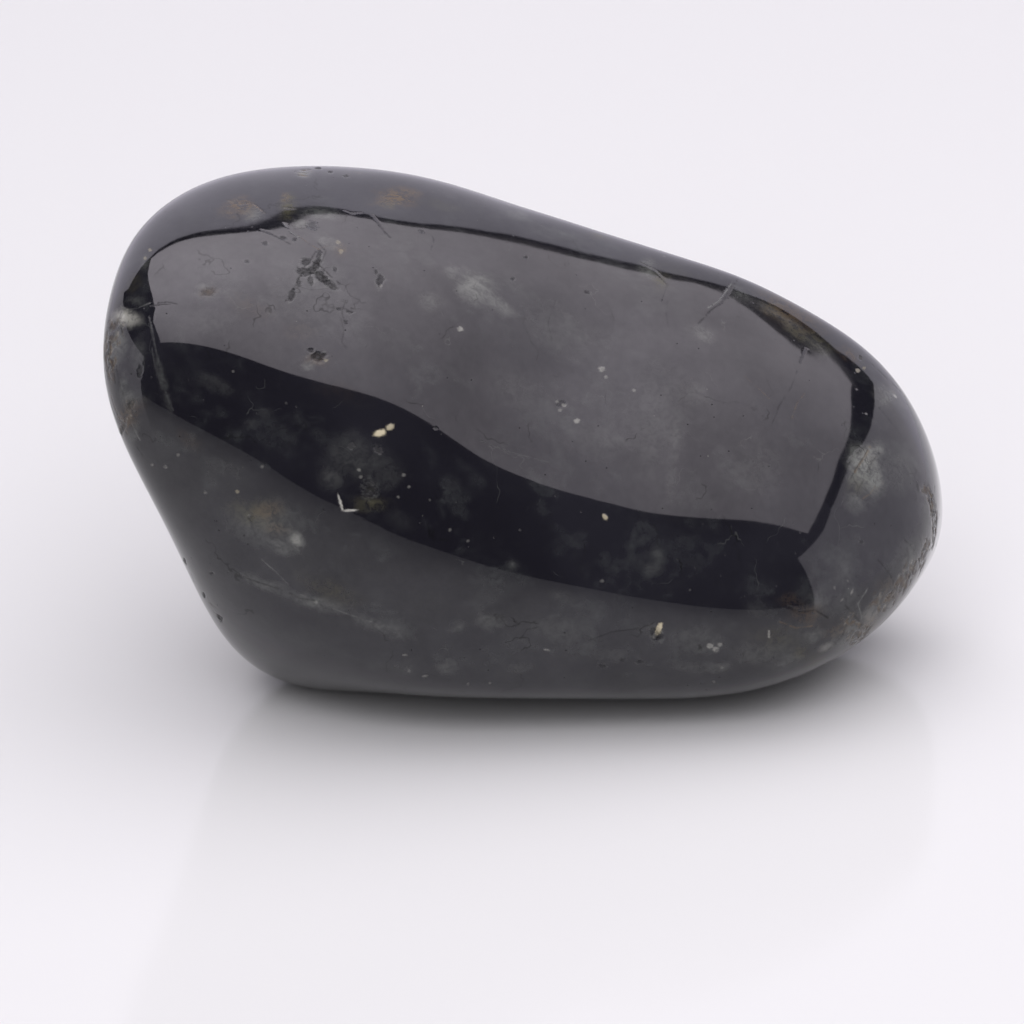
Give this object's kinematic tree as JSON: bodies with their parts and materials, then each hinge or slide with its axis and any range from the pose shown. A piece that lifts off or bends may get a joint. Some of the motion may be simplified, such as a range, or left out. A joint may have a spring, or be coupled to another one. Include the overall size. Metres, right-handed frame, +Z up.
{
  "type": "polished spectrolite stone",
  "caption": "Tumbled, polished dark feldspar stone with a broad worn top face and a rounded shoulder, resting on a small flat spot underneath.",
  "frame": {"origin": "middle of the stone's bounding box at the level of its flat resting spot", "axes": "+Z up, +X along the length towards the lower, fuller end, -Y towards the side with the broad polished face and the shoulder"},
  "size_m": [0.0418, 0.0222, 0.0248],
  "materials": {
    "polished_stone": "tumble-polished, near-black, with pale and rust-brown specks, hairline cracks and a few unpolished chips"
  },
  "bodies": {
    "root": {"stone": "polished_stone"}
  },
  "joints": []
}
